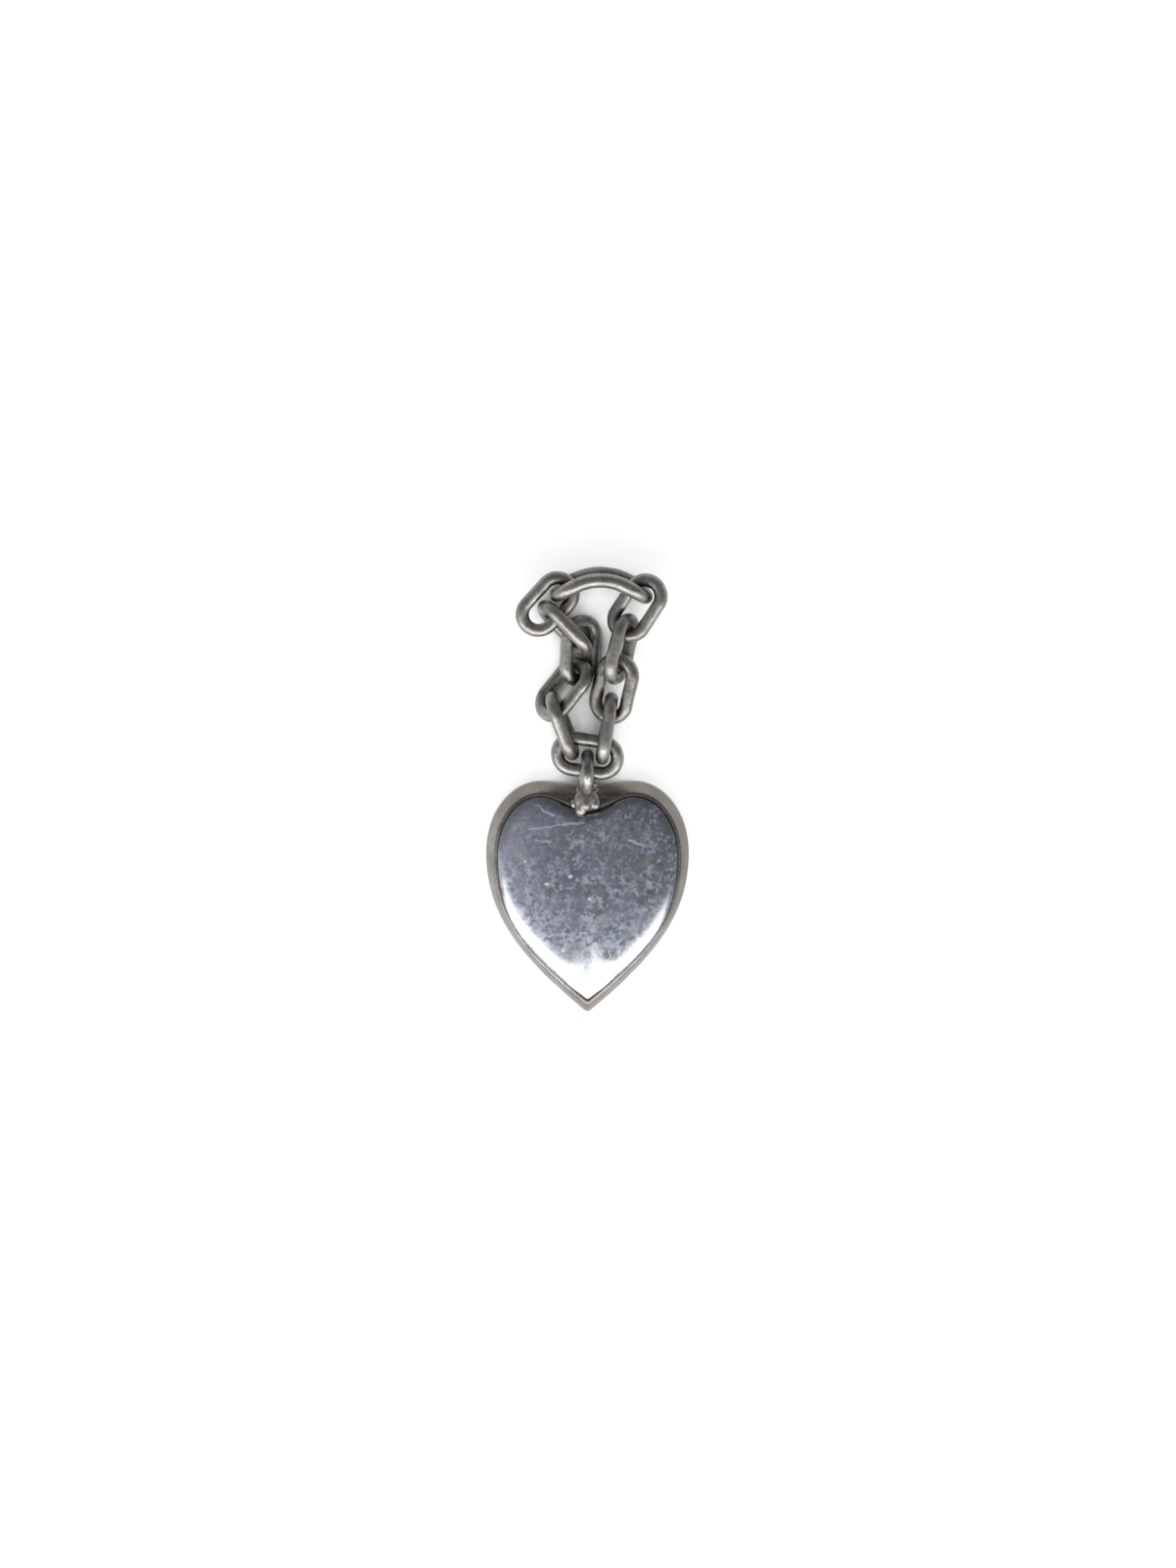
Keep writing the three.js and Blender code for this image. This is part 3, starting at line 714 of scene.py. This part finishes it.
def blue_stone():
    """Polished opaque stone: slate blue with lavender clouds, pale and dark grains and a few flaws."""
    g = Graph(bpy.data.materials.new("blue_stone"))
    place = g.node("ShaderNodeTexCoord").outputs["Object"]
    across, upward, _ = g.node("ShaderNodeSeparateXYZ", {"Vector": place}).outputs

    # the flaws wander a little from their straight lines
    flat = g.node("ShaderNodeCombineXYZ", {"X": across, "Y": upward}).outputs[0]
    wobble = g.node("ShaderNodeTexNoise", {"Vector": place, "Scale": 900, "Detail": 2}).outputs["Color"]
    wobble = g.vector("SUBTRACT", wobble, (0.5, 0.5, 0.5))
    flat = g.vector("ADD", flat, g.vector("MULTIPLY", wobble, (0.6 * MM, 0.6 * MM, 0)))

    cloud = g.noise(place, scale=330, detail=4, rough=0.55, warp=0.4)
    colour = g.mix(g.ramp(cloud, 0.38, 0.62), SLATE_DARK, SLATE_LIGHT)
    lavender = g.noise(g.stretched(place, (1, 1, 1.7)), scale=560, detail=3)
    colour = g.mix(g.ramp(lavender, 0.5, 0.66, 0, 0.6), colour, LAVENDER)
    blue = g.noise(place, scale=640, detail=3)
    colour = g.mix(g.ramp(blue, 0.48, 0.62, 0, 0.6), colour, DEEP_BLUE)

    # painted shade darkens the upper part; painted light makes the lower part paler, and the left part
    # gets a lavender cloud together with painted light
    shaded_above = g.ramp(upward, -6 * MM, 4.5 * MM, 0.0, 0.85)
    lit_below = g.ramp(upward, -3 * MM, -9.5 * MM, 0.0, 0.4)
    left_cloud_and_light = g.ramp(across, -2 * MM, -8.5 * MM, 0.0, 0.35)
    colour = g.mix(shaded_above, colour, TOP_SHADE, "MULTIPLY")
    colour = g.mix(lit_below, colour, LOWER_PAINTED_LIGHT_TONE)
    colour = g.mix(left_cloud_and_light, colour, LEFT_CLOUD)

    # pale and dark grains in clumps, most of them on the right and below
    slant = g.math("SUBTRACT", across, g.times(upward, 1.3))
    clumps = g.ramp(g.noise(place, scale=560), 0.4, 0.6, 0.4, 1.0)
    amount = g.times(g.ramp(slant, -11 * MM, 1 * MM, 0.45, 1.0), clumps)
    grain = g.noise(g.stretched(place, (1.15, 0.85, 1.0)), scale=1250, detail=5, rough=0.7)
    fine = g.noise(place, scale=2900, rough=0.6)
    grains = g.weighed(grain, 0.58, fine, 0.42)
    pale = g.times(g.ramp(grains, 0.485, 0.6), amount)
    colour = g.mix(g.times(pale, 0.78), colour, PALE_GRAIN)
    deep = g.times(g.ramp(grains, 0.525, 0.42), amount)
    colour = g.mix(g.times(deep, 0.85), colour, DARK_GRAIN)
    # painted light brightens the lower and left parts, grains included
    colour = g.mix(lit_below, colour, LOWER_PAINTED_LIGHT, "MULTIPLY")
    colour = g.mix(left_cloud_and_light, colour, LEFT_PAINTED_LIGHT, "MULTIPLY")

    # brown grains gather on the right of the middle
    to_right = g.times(g.ramp(across, 0.5 * MM, 5.5 * MM), g.ramp(upward, -8.5 * MM, -2 * MM))
    to_right = g.times(to_right, g.ramp(upward, 4 * MM, 0))
    brown = g.times(g.ramp(g.noise(place, scale=1000, detail=3, rough=0.6), 0.48, 0.6), to_right)
    colour = g.mix(g.times(brown, 0.75), colour, BROWN_GRAIN)

    for specks, speck_colour in ((DARK_SPECKS, DARK_SPECK), (PALE_SPECKS, PALE_SPECK)):
        for x, y, radius in specks:
            mask = g.streak(flat, (x, y), (x + SPECK_LENGTH, y), radius)
            colour = g.mix(mask, colour, speck_colour)
    for start, end, width, strength in SCRATCHES:
        mask = g.times(g.streak(flat, start, end, width), strength)
        colour = g.mix(mask, colour, SCRATCH)

    # painted shadow of the lip, darkening the stone's margin round the lobes
    edge = g.node("ShaderNodeAttribute", attribute_name="margin").outputs["Fac"]
    lip_shadow = g.times(g.ramp(edge, 1.25, 0.25), g.ramp(upward, -0.5 * MM, 4 * MM))
    colour = g.mix(g.times(lip_shadow, 0.6), colour, LIP_SHADOW)

    g.give(g.shader.inputs["Base Color"], colour)
    g.give(g.shader.inputs["Roughness"], g.ramp(grains, 0.35, 0.65, 0.14, 0.26))
    g.shader.inputs["IOR"].default_value = 2.3
    g.shader.inputs["Coat Weight"].default_value = 1.0
    g.shader.inputs["Coat Roughness"].default_value = 0.2
    g.shader.inputs["Coat IOR"].default_value = 1.9
    bump = g.node("ShaderNodeBump", {"Height": grains, "Strength": 0.1, "Distance": 0.02 * MM})
    g.give(g.shader.inputs["Normal"], bump.outputs[0])
    return g.owner


def dress(piece, material, node, body):
    piece.data.materials.append(material)
    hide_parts(node)
    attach(piece, body)


dress(bezel, bezel_silver, "heart_bezel", "heart")
dress(plate, back_silver, "heart_back_plate", "heart")
dress(stone, blue_stone(), "heart_stone", "heart")
dress(eye, chain_silver, "hanging_eye", "heart")
dress(solder, solder_silver, "solder_bead", "heart")
for name, piece in links.items():
    dress(piece, chain_silver, name, name)

# Floor: white to the eye and to reflections, and it keeps the soft shadow
FLOOR_HALF_SIDE = 3.0
FLOOR_DROP = 0.0001
CONTACT_REACH = 0.004  # how far from the object its contact shadow reaches
floor_mesh = bpy.data.meshes.new("floor")
floor_corners = [
    (x * FLOOR_HALF_SIDE, y * FLOOR_HALF_SIDE, -FLOOR_DROP)
    for x, y in ((-1, -1), (1, -1), (1, 1), (-1, 1))
]
floor_mesh.from_pydata(floor_corners, [], [(0, 1, 2, 3)])
floor = bpy.data.objects.new("floor", floor_mesh)
bpy.context.scene.collection.objects.link(floor)
floor_look = Graph(bpy.data.materials.new("floor_white"))
floor_tree = floor_look.tree
floor_tree.nodes.remove(floor_look.shader)
ray = floor_look.node("ShaderNodeLightPath").outputs
seen = floor_look.math("ADD", ray["Is Camera Ray"], ray["Is Glossy Ray"], clamp=True)
seen = floor_look.math("ADD", seen, ray["Is Transmission Ray"], clamp=True)
matt = floor_look.node("ShaderNodeBsdfDiffuse", {"Color": rgba(0.8, 0.8, 0.8)}).outputs[0]
shadowed = floor_look.node("ShaderNodeBsdfDiffuse", {"Color": rgba(0.32, 0.32, 0.32)}).outputs[0]
open_sky = floor_look.node(
    "ShaderNodeAmbientOcclusion", {"Distance": CONTACT_REACH}, samples=12
).outputs["AO"]
contact = floor_look.ramp(open_sky, 0.26, 0.5, 0.0, 0.8)
glow = floor_look.node("ShaderNodeEmission", {"Color": rgba(1, 1, 1), "Strength": contact}).outputs[0]
bright = floor_look.node("ShaderNodeAddShader", {0: glow, 1: shadowed}).outputs[0]
both = floor_look.node("ShaderNodeMixShader", {0: seen, 1: matt, 2: bright}).outputs[0]
floor_tree.links.new(both, floor_tree.nodes["Material Output"].inputs["Surface"])
floor_mesh.materials.append(floor_look.owner)

# World: pale round the horizon, greyer overhead, darker on the far side and on the right
scene = bpy.context.scene
world = bpy.data.worlds.new("studio")
scene.world = world
sky = Graph(world, shader="Background")
toward = sky.node("ShaderNodeTexCoord").outputs["Generated"]
sky_axes = sky.node("ShaderNodeSeparateXYZ", {"Vector": toward}).outputs
overhead = sky.ramp(sky_axes[2], 0.05, 0.75, 0.85, 0.36)
to_far_side = sky.ramp(sky_axes[1], -0.5, 0.7, 1.0, 0.54)
to_right = sky.ramp(sky_axes[0], -0.7, 0.7, 1.18, 0.82)
sky.give(sky.shader.inputs["Strength"], sky.times(overhead, sky.times(to_far_side, to_right)))
sky.shader.inputs["Color"].default_value = rgba(0.96, 0.98, 1.0)


def softbox(name, azimuth, elevation, distance, width, height, watts):
    """Area lamp that looks at the heart from a direction; azimuth 0 is below the photo's bottom edge."""
    lamp = bpy.data.lights.new(name, "AREA")
    lamp.shape = "RECTANGLE"
    lamp.size = width
    lamp.size_y = height
    lamp.energy = watts
    holder = bpy.data.objects.new(name, lamp)
    a = math.radians(azimuth)
    e = math.radians(elevation)
    away = Vector((math.sin(a) * math.cos(e), -math.cos(a) * math.cos(e), math.sin(e)))
    holder.location = away * distance
    holder.rotation_mode = "QUATERNION"
    holder.rotation_quaternion = away.to_track_quat("Z", "Y")
    scene.collection.objects.link(holder)


softbox("key_softbox", azimuth=-5, elevation=46.5, distance=0.30, width=0.70, height=0.17, watts=1.45)

# Camera: nearly overhead, from the chain's side
PIXEL = 0.0000962  # metres of the heart for each pixel of the photograph
IMAGE_HEIGHT = 1600
CAMERA_TILT = math.radians(9.5)
CAMERA_TARGET = Vector((0.00005, 0.00701, 0.0016))
camera_data = bpy.data.cameras.new("camera")
camera_data.lens = 100
camera_data.sensor_width = 36
camera_data.clip_start = 0.01
camera = bpy.data.objects.new("camera", camera_data)
scene.collection.objects.link(camera)
scene.camera = camera
stand_off = PIXEL * IMAGE_HEIGHT * camera_data.lens / camera_data.sensor_width
upwards = Vector((0, math.sin(CAMERA_TILT), math.cos(CAMERA_TILT)))
camera.location = CAMERA_TARGET + upwards * stand_off
camera.rotation_euler = (-CAMERA_TILT, 0, 0)
scene.view_settings.view_transform = "Standard"
